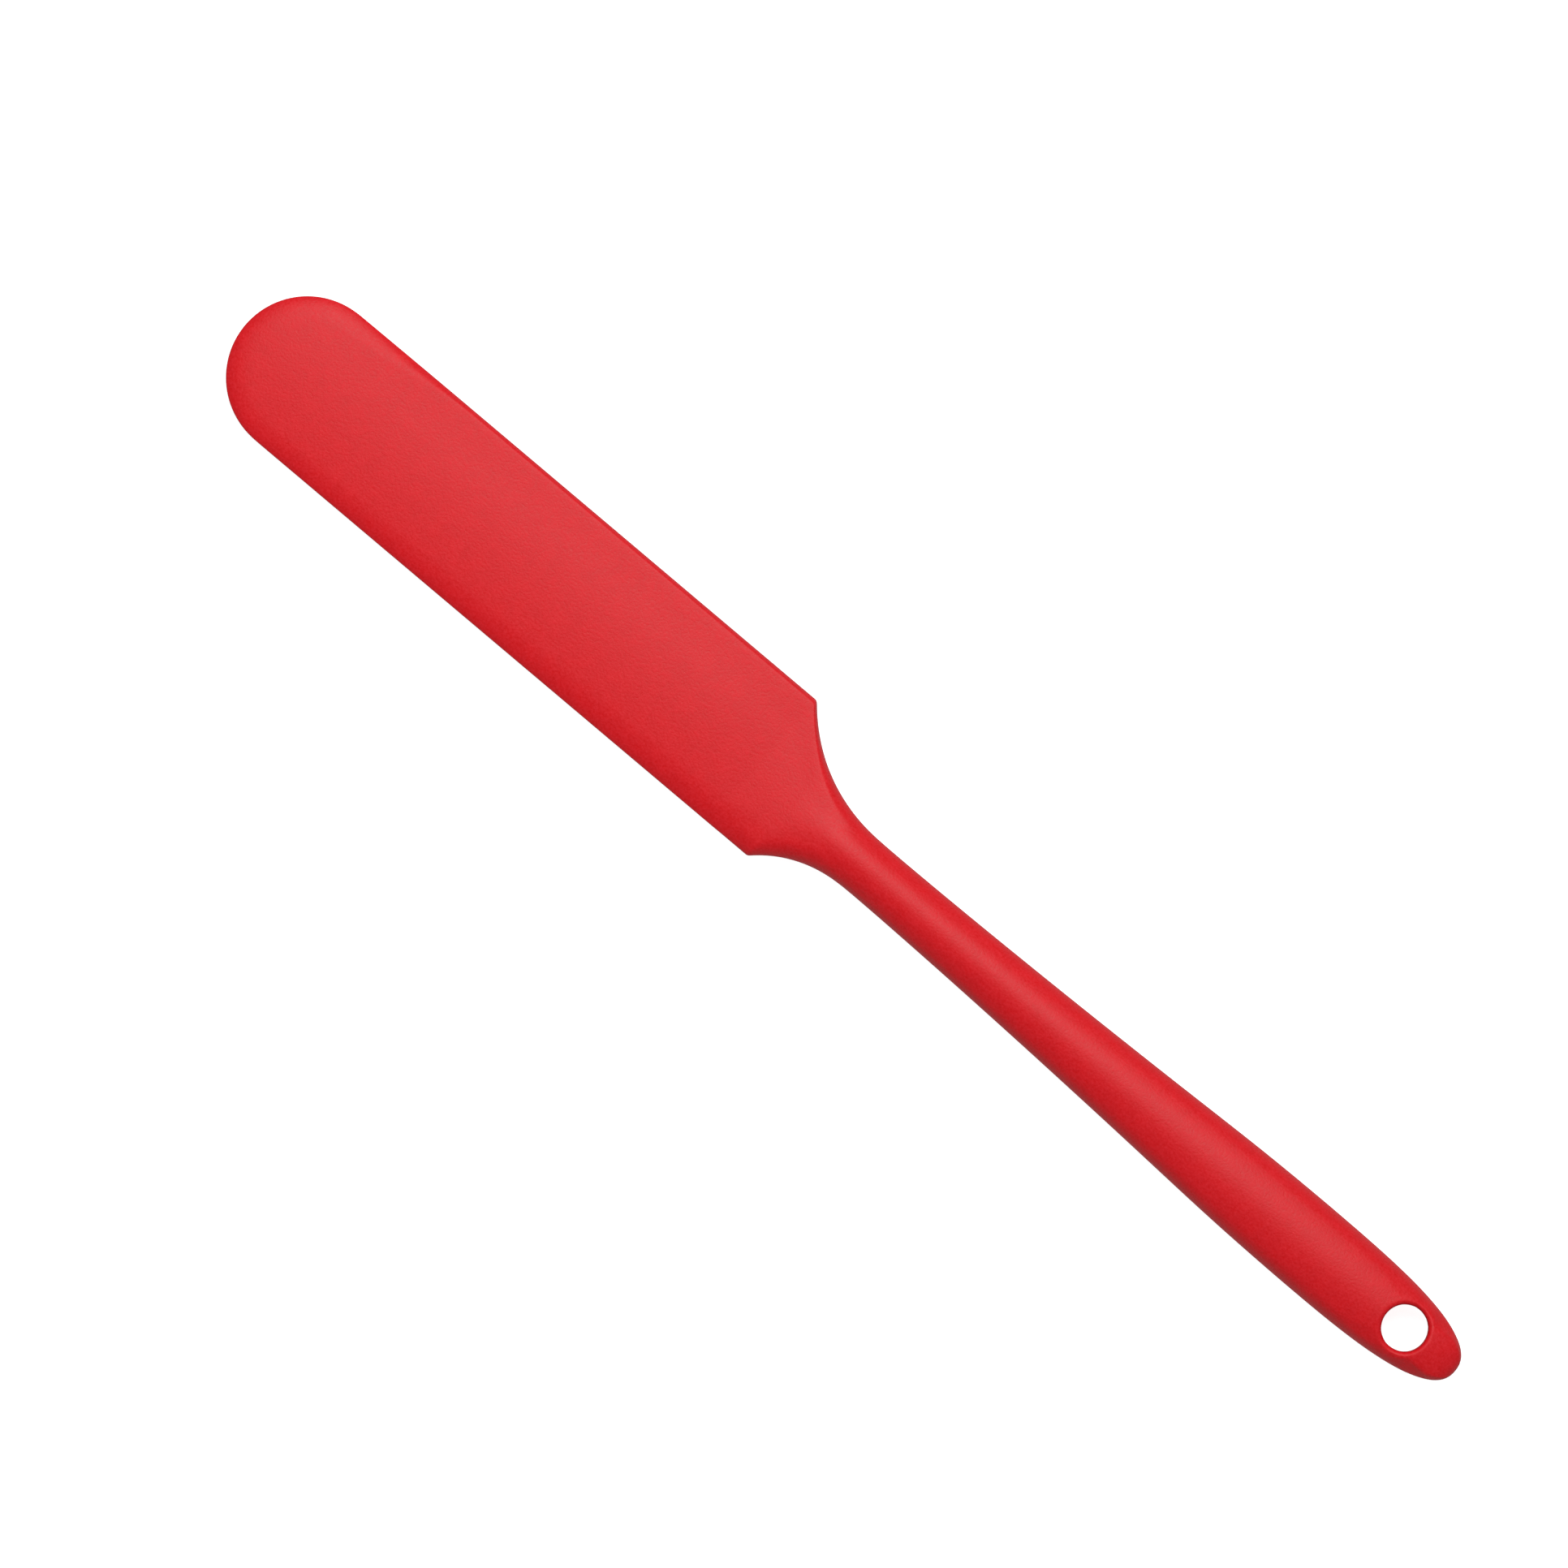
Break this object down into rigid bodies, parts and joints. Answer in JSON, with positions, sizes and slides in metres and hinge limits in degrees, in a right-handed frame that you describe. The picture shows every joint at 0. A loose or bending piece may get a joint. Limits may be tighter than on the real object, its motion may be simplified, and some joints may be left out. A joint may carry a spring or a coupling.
{
  "type": "silicone spatula",
  "caption": "Narrow one-piece jar spatula: long thin blade with a half-round tip, offset slender neck, flat oval grip and a round hanging hole.",
  "frame": {"origin": "under the middle of the outline, on the surface that the grip rests on", "axes": "+X runs along the tool from the blade's tip to the end of the grip, +Z is normal to the blade's face, +Y points to the blade's shorter straight edge"},
  "size_m": [0.28, 0.0288, 0.0104],
  "materials": {
    "silicone": "matt moulded silicone rubber",
    "nylon": "natural glass-filled nylon, as moulded",
    "steel": "stamped stainless strip"
  },
  "bodies": {
    "root": {"silicone_skin": "silicone", "nylon_core": "nylon", "steel_leaf": "steel"}
  },
  "joints": []
}
